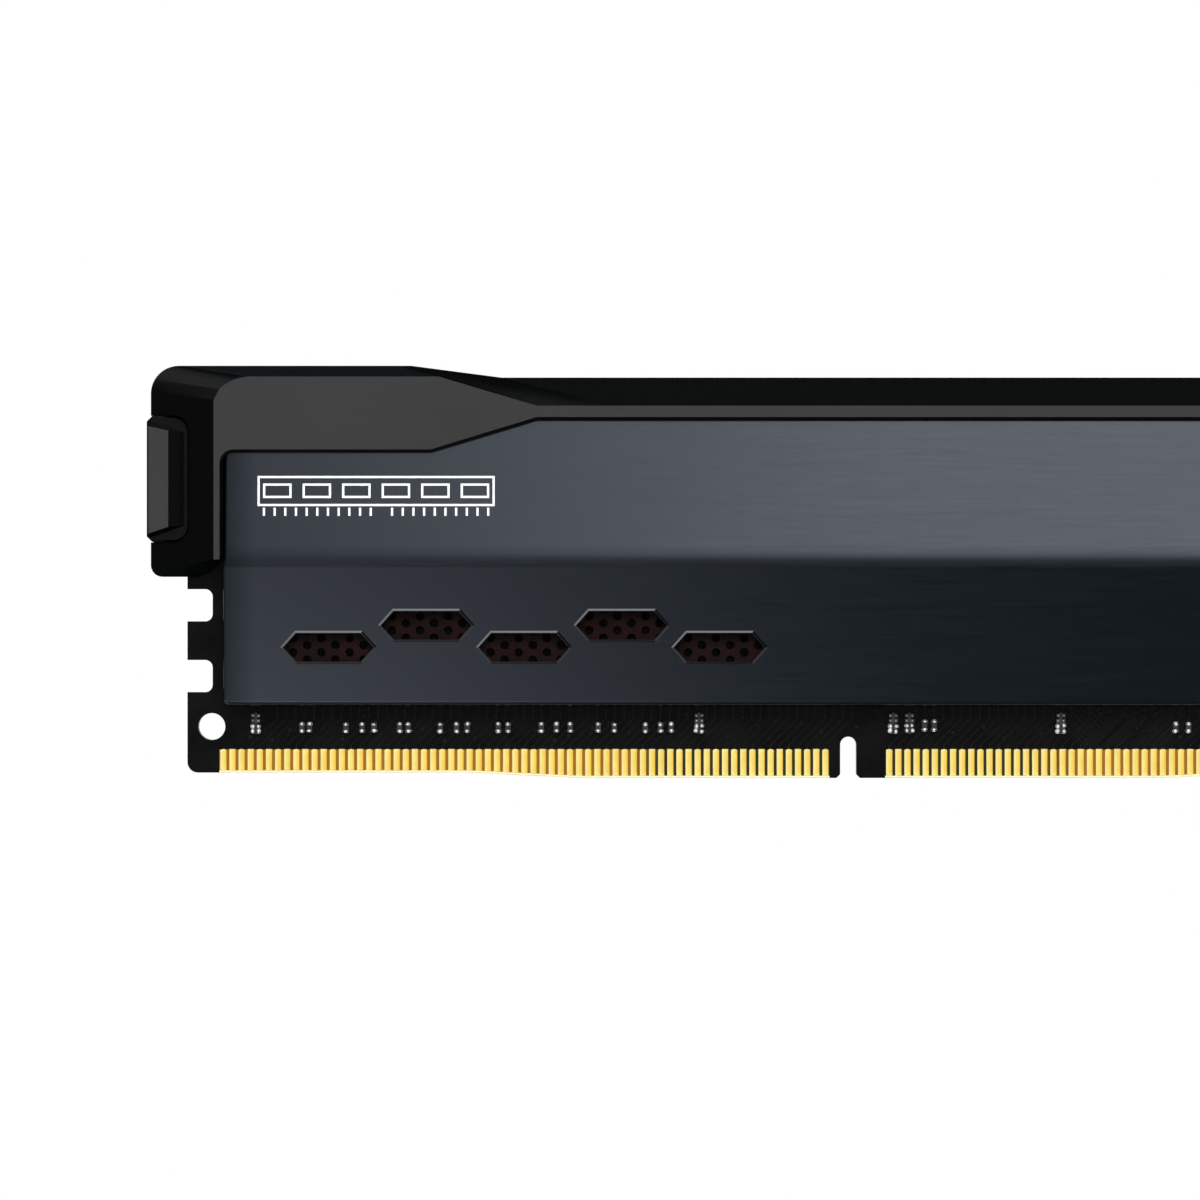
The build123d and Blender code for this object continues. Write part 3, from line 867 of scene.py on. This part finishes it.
def add_ring(shape: bmesh.types.BMesh, outside: Sequence[tuple[float, float]],
             inside: Sequence[tuple[float, float]], lift: Callable[[float], float],
             thickness: float, outward: float) -> None:
    """Add a closed flat ring between two outlines with the same number of corners.

    Args:
        shape: the mesh to add to.
        outside: the outer corners as (x, z).
        inside: the matching inner corners.
        lift: distance of the face from the middle of the board at height z.
        thickness: how far the ring stands off the face.
        outward: sign of Y out of the face.
    """
    rows = []
    for outline, raised in ((outside, 0.0), (outside, thickness), (inside, thickness), (inside, 0.0)):
        rows.append([shape.verts.new((x, outward * (lift(z) + raised), z)) for x, z in outline])
    count = len(outside)
    for row in range(4):
        first, second = rows[row], rows[(row + 1) % 4]
        for index in range(count):
            after = (index + 1) % count
            shape.faces.new((first[index], first[after], second[after], second[index]))


def add_dome(shape: bmesh.types.BMesh, centre: Vector, radii: Vector, outward: float,
             rings: int = 4, around: int = 12) -> None:
    """Add a closed half ellipsoid that stands on a face of the module.

    Args:
        shape: the mesh to add to.
        centre: middle of its base.
        radii: its half width, height off the face and half length.
        outward: sign of Y out of the face.
        rings: bands from base to top.
        around: corners of each band.
    """
    bands = []
    for ring in range(rings):
        tilt = 0.5 * math.pi * ring / rings
        wide, tall = math.cos(tilt), math.sin(tilt)
        band = []
        for corner in range(around):
            turn = 2.0 * math.pi * corner / around
            offset = (radii.x * wide * math.cos(turn), outward * radii.y * tall,
                      radii.z * wide * math.sin(turn))
            band.append(shape.verts.new(centre + Vector(offset)))
        bands.append(band)
    top = shape.verts.new(centre + Vector((0.0, outward * radii.y, 0.0)))
    shape.faces.new(bands[0])
    for lower, upper in zip(bands, bands[1:]):
        for corner in range(around):
            after = (corner + 1) % around
            shape.faces.new((lower[corner], lower[after], upper[after], upper[corner]))
    for corner in range(around):
        shape.faces.new((bands[-1][corner], bands[-1][(corner + 1) % around], top))


# ------------------------------------------------------------------ sub-assemblies


@dataclass
class Board:
    """The circuit board: its mask, gold contacts, masked tracks, tented vias and copper hatch."""

    track_width: float = 0.12 * MM
    track_height: float = 0.02 * MM
    track_straight: float = 0.35 * MM
    track_slant: float = 2.5 * MM
    track_reach: float = 61.0 * MM
    track_cover: float = 1.5 * MM
    via_radius: float = 0.22 * MM
    via_height: float = 0.025 * MM
    via_count: int = 70
    via_end_margin: float = 6.0 * MM
    via_scatter: float = 0.4 * MM
    via_foot_margin: float = 0.6 * MM
    via_top_margin: float = 0.4 * MM
    seed: int = 7
    hatch_span: tuple[float, float] = (17.0 * MM, 25.0 * MM)
    hatch_pitch: float = 0.62 * MM
    hatch_gap: float = 0.3 * MM

    def dress(self) -> None:
        """Finish the board and both rows of contacts."""
        dress("circuit_board", SOLDER_MASK)
        for face in Face:
            dress(f"edge_contacts_{face.label}", GOLD)

    def surface(self, height: float) -> float:
        """Distance of the board's face from its middle, the same at any height."""
        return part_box("circuit_board")[1].y

    def tracks(self, face: Face) -> None:
        """Lay a masked track from each contact, up and on at a slant.

        Args:
            face: the side of the board.
        """
        shape = bmesh.new()
        half = self.track_width / 2
        plate_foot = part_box(f"heat_spreader_{face.label}")[0].z
        for low, high in islands(f"edge_contacts_{face.label}"):
            x = (low.x + high.x) / 2
            if abs(x) > self.track_reach:
                continue
            start = high.z
            lean = -face.outward
            bend = start + self.track_straight
            end = min(bend + self.track_slant, plate_foot)
            across = lean * (end - bend)
            top = plate_foot + self.track_cover
            route = [(x, start), (x, bend), (x + across, end), (x + across, top)]
            outline = [(px - half, pz) for px, pz in route]
            outline += [(px + half, pz) for px, pz in reversed(route)]
            for index in range(len(route) - 1):
                quad = [outline[index], outline[index + 1],
                        outline[-index - 2], outline[-index - 1]]
                add_prism(shape, quad, self.surface, self.track_height, face.outward)
        place_piece(f"board_tracks_{face.label}", shape, TRACK_MASK)

    def vias(self, face: Face) -> None:
        """Scatter tented vias over the uncovered strip of the board.

        Args:
            face: the side of the board.
        """
        shape = bmesh.new()
        chance = random.Random(self.seed)
        low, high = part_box("circuit_board")
        contact_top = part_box(f"edge_contacts_{face.label}")[1].z
        plate_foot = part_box(f"heat_spreader_{face.label}")[0].z
        step = (high.x - low.x - 2 * self.via_end_margin) / (self.via_count - 1)
        for index in range(self.via_count):
            x = low.x + self.via_end_margin + index * step
            x += chance.uniform(-self.via_scatter, self.via_scatter)
            z = chance.uniform(contact_top + self.via_foot_margin, plate_foot - self.via_top_margin)
            centre = Vector((x, face.outward * self.surface(z), z))
            size = Vector((self.via_radius, self.via_height, self.via_radius))
            add_dome(shape, centre, size, face.outward, rings=2)
        place_piece(f"tented_vias_{face.label}", shape, TRACK_MASK, smooth=True)

    def hatch(self, face: Face) -> None:
        """Lay a patch of crossed copper fill on the uncovered strip.

        Args:
            face: the side of the board.
        """
        shape = bmesh.new()
        half = self.track_width / 2
        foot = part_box(f"edge_contacts_{face.label}")[1].z + self.hatch_gap
        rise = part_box(f"heat_spreader_{face.label}")[0].z - foot
        left, right = self.hatch_span
        for step in range(int((right - left) / self.hatch_pitch)):
            x = -face.outward * (left + step * self.hatch_pitch)
            for lean in (-rise, rise):
                quad = [(x - half, foot), (x + half, foot), (x + half + lean, foot + rise),
                        (x - half + lean, foot + rise)]
                add_prism(shape, quad, self.surface, self.track_height, face.outward)
        place_piece(f"copper_hatch_{face.label}", shape, TRACK_MASK)

    def build(self) -> None:
        """Dress the board and add its surface detail on both faces."""
        self.dress()
        for face in Face:
            self.tracks(face)
            self.vias(face)
            self.hatch(face)


@dataclass
class SmallParts:
    """Resistors, arrays and capacitors, and the solder that holds them and the chips.

    cap_wide and cap_tall are half sizes of the solder on an end terminal, which stands crown over
    it; bead and blob are the radii on the upper and lower terminals of an array.
    """

    crown: float = 0.07 * MM
    cap_wide: float = 0.26 * MM
    cap_tall: float = 0.21 * MM
    bead: float = 0.09 * MM
    blob: float = 0.24 * MM
    jitter: float = 0.035 * MM
    seed: int = 11

    def cap_size(self, family: str, low: Vector, high: Vector, middle_z: float) -> tuple[float, float]:
        """Half width and half height of the solder on one terminal.

        Args:
            family: the terminal's node name without its face.
            low: lowest corner of the terminal.
            high: highest corner of the terminal.
            middle_z: height of the middle of a resistor array.

        Returns:
            The two radii along X and Z.
        """
        if family != "resistor_array_terminals":
            return self.cap_wide, self.cap_tall
        radius = self.blob if (low.z + high.z) / 2 < middle_z else self.bead
        return radius, radius

    def solder(self, face: Face) -> None:
        """Put a rounded, slightly uneven cap of solder on every end terminal of one face.

        Args:
            face: the side of the board.
        """
        shape = bmesh.new()
        chance = random.Random(self.seed)
        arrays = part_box(f"resistor_array_terminals_{face.label}")
        middle_z = (arrays[0].z + arrays[1].z) / 2
        for family in ("resistor_terminals", "capacitor_terminals", "resistor_array_terminals"):
            for low, high in islands(f"{family}_{face.label}"):
                middle = (low + high) / 2
                wide, tall = self.cap_size(family, low, high, middle_z)
                shift = [chance.uniform(-self.jitter, self.jitter) for _ in range(4)]
                foot = Vector((middle.x + shift[0], low.y if face is Face.BACK else high.y,
                               middle.z + shift[1]))
                size = Vector((wide + shift[2], high.y - low.y + self.crown, tall + shift[3]))
                add_dome(shape, foot, size, face.outward)
        place_piece(f"solder_caps_{face.label}", shape, TIN, smooth=True)

    def build(self) -> None:
        """Dress every small part and solder it down."""
        for face in Face:
            for family in ("resistor_terminals", "resistor_array_terminals", "capacitor_terminals"):
                dress(f"{family}_{face.label}", DULL_TIN)
            dress(f"solder_balls_{face.label}", TIN)
            dress(f"resistor_bodies_{face.label}", BLACK_CERAMIC)
            dress(f"resistor_array_bodies_{face.label}", BLACK_CERAMIC)
            dress(f"capacitor_bodies_{face.label}", TAN_CERAMIC)
            self.solder(face)


@dataclass
class Chips:
    """The memory chips, the configuration memory and the thermal pads."""

    per_face: int = 8

    def build(self) -> None:
        """Dress the chips and pads."""
        dress("spd_chip", CHIP_MOULD)
        for face in Face:
            dress(f"thermal_pad_{face.label}", SILICONE)
            for number in range(1, self.per_face + 1):
                dress(f"memory_chip_{face.label}_{number}", CHIP_MOULD)


@dataclass
class Plates:
    """The two heat spreader plates, the sheets behind their vents and the printed pictogram."""

    crease_z: float = 20.6 * MM
    crease_y: float = 3.9 * MM
    foot_y: float = 3.0 * MM

    def surface(self, height: float) -> float:
        """Distance of the plate's creased face from the middle of the board.

        Args:
            height: z over the contact edge.

        Returns:
            The distance along Y, in metres.
        """
        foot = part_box("heat_spreader_front")[0].z
        slope = (self.crease_y - self.foot_y) / (self.crease_z - foot)
        return self.crease_y - abs(height - self.crease_z) * slope

    def build(self) -> None:
        """Dress both plates and sheets, and print the sign on each plate."""
        for face in Face:
            dress(f"heat_spreader_{face.label}", PLATE)
            dress(f"vent_mesh_{face.label}", BRONZE_SHEET)
            Pictogram(self, face).build()


@dataclass
class Pictogram:
    """A generic printed sign of a memory stick: a board's outline, its chips and its contacts."""

    plates: Plates
    face: Face
    left: float = -60.0 * MM
    right: float = -38.0 * MM
    foot: float = 24.4 * MM
    top: float = 28.1 * MM
    line: float = 0.2 * MM
    ink: float = 0.012 * MM
    tick_height: float = 0.75 * MM
    tick_gap: float = 0.15 * MM
    tick_inset: float = 0.6 * MM
    chips: int = 6
    chip_share: float = 0.72
    chip_foot_gap: float = 0.75 * MM
    chip_top_gap: float = 0.7 * MM
    ticks: int = 22

    def bar(self, shape: bmesh.types.BMesh, x0: float, x1: float, z0: float, z1: float) -> None:
        """Add a filled rectangle of ink between two corners.

        Args:
            shape: the mesh to add to.
            x0: left end, as seen from this face.
            x1: right end.
            z0: lower side.
            z1: upper side.
        """
        side = -self.face.outward
        outline = [(side * x0, z0), (side * x1, z0), (side * x1, z1), (side * x0, z1)]
        add_prism(shape, outline, self.plates.surface, self.ink, self.face.outward)

    def hoop(self, shape: bmesh.types.BMesh, x0: float, x1: float, z0: float, z1: float) -> None:
        """Add a rectangle's outline of ink, one line wide.

        Args:
            shape: the mesh to add to.
            x0: left end, as seen from this face.
            x1: right end.
            z0: lower side.
            z1: upper side.
        """
        side, line = -self.face.outward, self.line
        outside = [(side * x0, z0), (side * x1, z0), (side * x1, z1), (side * x0, z1)]
        inside = [(side * (x0 + line), z0 + line), (side * (x1 - line), z0 + line),
                  (side * (x1 - line), z1 - line), (side * (x0 + line), z1 - line)]
        add_ring(shape, outside, inside, self.plates.surface, self.ink, self.face.outward)

    def build(self) -> None:
        """Print the sign on one plate."""
        shape = bmesh.new()
        tick_top = self.foot + self.tick_height
        board_foot = tick_top + self.tick_gap
        self.hoop(shape, self.left, self.right, board_foot, self.top)
        pitch = (self.right - self.left) / self.chips
        half = self.chip_share * pitch / 2
        for index in range(self.chips):
            x = self.left + (index + 0.5) * pitch
            self.hoop(shape, x - half, x + half, board_foot + self.chip_foot_gap,
                      self.top - self.chip_top_gap)
        step = (self.right - self.left - 2 * self.tick_inset) / (self.ticks - 1)
        for index in range(self.ticks):
            if index == self.ticks // 2:
                continue
            x = self.left + self.tick_inset + index * step
            self.bar(shape, x - self.line / 2, x + self.line / 2, self.foot, tick_top)
        place_piece(f"printed_pictogram_{self.face.label}", shape, PRINT_INK)


@dataclass
class Surround:
    """The black frame and the lugs let into its ends."""

    lug_sides: tuple[str, ...] = ("left", "right")

    def build(self) -> None:
        """Dress the frame and both lugs."""
        dress("top_frame", FRAME_PAINT)
        for side in self.lug_sides:
            dress(f"end_lug_{side}", LUG_PAINT)


@dataclass(frozen=True)
class Softbox:
    """A soft light that the module sees in one direction.

    azimuth turns from the front towards +X and elevation is above the horizon, both in degrees.
    """

    name: str
    azimuth: float
    elevation: float
    wide: float
    tall: float
    radiance: float
    distance: float = 1.2

    def build(self, target: Vector) -> None:
        """Hang the light and aim it.

        Args:
            target: the point it looks at.
        """
        light = bpy.data.lights.new(self.name, "AREA")
        light.shape = "RECTANGLE"
        light.size = 2.0 * self.distance * math.tan(math.radians(self.wide / 2))
        light.size_y = 2.0 * self.distance * math.tan(math.radians(self.tall / 2))
        light.energy = self.radiance * math.pi * light.size * light.size_y
        around = math.radians(self.azimuth)
        up = math.radians(self.elevation)
        way = Vector((math.sin(around) * math.cos(up), -math.cos(around) * math.cos(up), math.sin(up)))
        lamp = bpy.data.objects.new(self.name, light)
        lamp.location = target + way * self.distance
        lamp.rotation_euler = way.to_track_quat("Z", "Y").to_euler()
        lamp.visible_camera = False
        bpy.context.scene.collection.objects.link(lamp)


@dataclass(frozen=True)
class Surroundings:
    """A white backdrop for the eye, and soft graded cards for what the metal reflects.

    Heights are the sine of the elevation. Sideways places are the tangent of the angle from
    straight ahead, alike for the front and, turned half a turn, for the back.
    """

    base: Colour = (0.012, 0.028, 0.038)
    strength: float = 1.3
    upper_rise: tuple[float, float] = (-0.048, 0.075)
    upper_fade: tuple[float, float] = (0.34, 0.5)
    upper_sweep: tuple[float, float] = (-0.055, -0.004)
    upper_level: tuple[float, float] = (0.16, 0.5)
    upper_second_sweep: tuple[float, float] = (-0.006, 0.022)
    upper_second_level: float = 0.45
    glow_rise: tuple[float, float] = (0.05, -0.035)
    glow_level: float = 0.15
    lower_rise: tuple[float, float] = (-0.118, -0.21)
    lower_fade: tuple[float, float] = (-0.36, -0.5)
    lower_fade_level: float = 0.1
    lower_sweep: tuple[float, float] = (0.022, -0.05)
    side_fade: tuple[float, float] = (0.55, 1.0)
    side_drop: tuple[float, float] = (-0.04, -0.14)
    side_level: float = 0.3

    def cards(self, graph: Graph) -> bpy.types.NodeSocket:
        """Brightness of the cards ahead and of the low ones at each side, in every direction.

        Args:
            graph: the world's graph.

        Returns:
            The brightness socket.
        """
        way = graph.add("ShaderNodeSeparateXYZ")
        graph.feed(way.inputs[0], graph.add("ShaderNodeTexCoord").outputs["Generated"])
        height = way.outputs["Z"]
        depth = graph.math("MULTIPLY", way.outputs["Y"], -1.0)
        aside = graph.math("DIVIDE", way.outputs["X"], depth)
        upper = graph.math(
            "ADD", graph.span(aside, *self.upper_sweep, *self.upper_level),
            graph.span(aside, *self.upper_second_sweep, 0.0, self.upper_second_level),
        )
        upper = graph.math("MULTIPLY", upper, graph.span(height, *self.upper_rise, 0.0, 1.0))
        upper = graph.math("MULTIPLY", upper, graph.span(height, *self.upper_fade, 1.0, 0.0))
        rise = graph.math(
            "ADD", graph.span(height, *self.glow_rise, 0.0, self.glow_level),
            graph.span(height, *self.lower_rise, 0.0, 1.0 - self.glow_level),
        )
        lower = graph.math("MULTIPLY", rise, graph.span(aside, *self.lower_sweep, 0.0, 1.0))
        fade = graph.span(height, *self.lower_fade, 1.0, self.lower_fade_level)
        ahead = graph.math("ADD", upper, graph.math("MULTIPLY", lower, fade))
        far = graph.math("ABSOLUTE", aside)
        ahead = graph.math("MULTIPLY", ahead, graph.span(far, *self.side_fade, 1.0, 0.0))
        sides = graph.math(
            "MULTIPLY", graph.span(far, *self.side_fade, 0.0, self.side_level),
            graph.span(height, *self.side_drop, 0.0, 1.0),
        )
        return graph.math("ADD", ahead, sides)

    def build(self) -> None:
        """Make the world."""
        world = bpy.data.worlds.new("studio_world")
        bpy.context.scene.world = world
        world.use_nodes = True
        world.node_tree.nodes.clear()
        graph = Graph(world.node_tree)
        sink = graph.add("ShaderNodeOutputWorld")
        white = graph.add("ShaderNodeBackground")
        soft = graph.add("ShaderNodeBackground")
        graph.feed(white.inputs["Color"], (1.0, 1.0, 1.0))
        graph.feed(soft.inputs["Color"], graph.mix(self.cards(graph), self.base, (1.0, 1.0, 1.0)))
        graph.feed(soft.inputs["Strength"], self.strength)
        blend = graph.add("ShaderNodeMixShader")
        path = graph.add("ShaderNodeLightPath")
        graph.feed(blend.inputs[0], path.outputs["Is Camera Ray"])
        graph.feed(blend.inputs[1], soft.outputs[0])
        graph.feed(blend.inputs[2], white.outputs[0])
        graph.feed(sink.inputs["Surface"], blend.outputs[0])


@dataclass
class Studio:
    """The floor, the lights, the surroundings and the camera.

    view_width is what the camera takes in at the board's face, and view_x and view_z its middle.
    """

    floor_drop: float = 110.0 * MM
    floor_half: float = 0.75
    view_width: float = 111.83 * MM
    view_x: float = -28.23 * MM
    view_z: float = 16.59 * MM
    lens: float = 200.0
    sensor: float = 36.0
    nearest: float = 0.01
    furthest: float = 10.0
    floor_cells: int = 8
    boxes: tuple[Softbox, ...] = (
        Softbox("front_top_softbox", -6.0, 44.0, 60.0, 32.0, 6.2),
        Softbox("overhead_softbox", -8.0, 71.0, 60.0, 22.0, 1.8),
        Softbox("left_side_softbox", -60.0, 34.0, 26.0, 20.0, 1.6),
        Softbox("rear_low_softbox", 180.0, -6.0, 70.0, 28.0, 1.0),
    )

    def floor(self) -> None:
        """Lay the pale floor."""
        shape = bmesh.new()
        cells = self.floor_cells
        bmesh.ops.create_grid(shape, x_segments=cells, y_segments=cells, size=self.floor_half)
        mesh = bpy.data.meshes.new("studio_floor")
        shape.to_mesh(mesh)
        shape.free()
        mesh.materials.append(FLOOR_PAPER.material())
        floor = bpy.data.objects.new("studio_floor", mesh)
        floor.location.z = -self.floor_drop
        bpy.context.scene.collection.objects.link(floor)
        floor.visible_glossy = False

    def camera(self) -> None:
        """Stand the camera square on to the front face."""
        data = bpy.data.cameras.new("front_camera")
        data.lens = self.lens
        data.sensor_width = self.sensor
        data.clip_start = self.nearest
        data.clip_end = self.furthest
        camera = bpy.data.objects.new("front_camera", data)
        board_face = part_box("circuit_board")[0].y
        away = self.view_width * self.lens / self.sensor
        camera.location = (self.view_x, board_face - away, self.view_z)
        camera.rotation_euler = (math.radians(90.0), 0.0, 0.0)
        bpy.context.scene.collection.objects.link(camera)
        bpy.context.scene.camera = camera

    def build(self) -> None:
        """Set the stage round the module."""
        self.camera()
        self.floor()
        Surroundings().build()
        low, high = CAD_BOX
        target = (low + high) / 2
        for box in self.boxes:
            box.build(target)
        bpy.context.scene.view_settings.view_transform = "Standard"


def main() -> None:
    """Set the stage, then build the module from the board outwards."""
    Studio().build()
    for part in (Board(), SmallParts(), Chips(), Plates(), Surround()):
        part.build()
        LOG.info("finished %s", type(part).__name__)


if __name__ == "__main__":
    main()
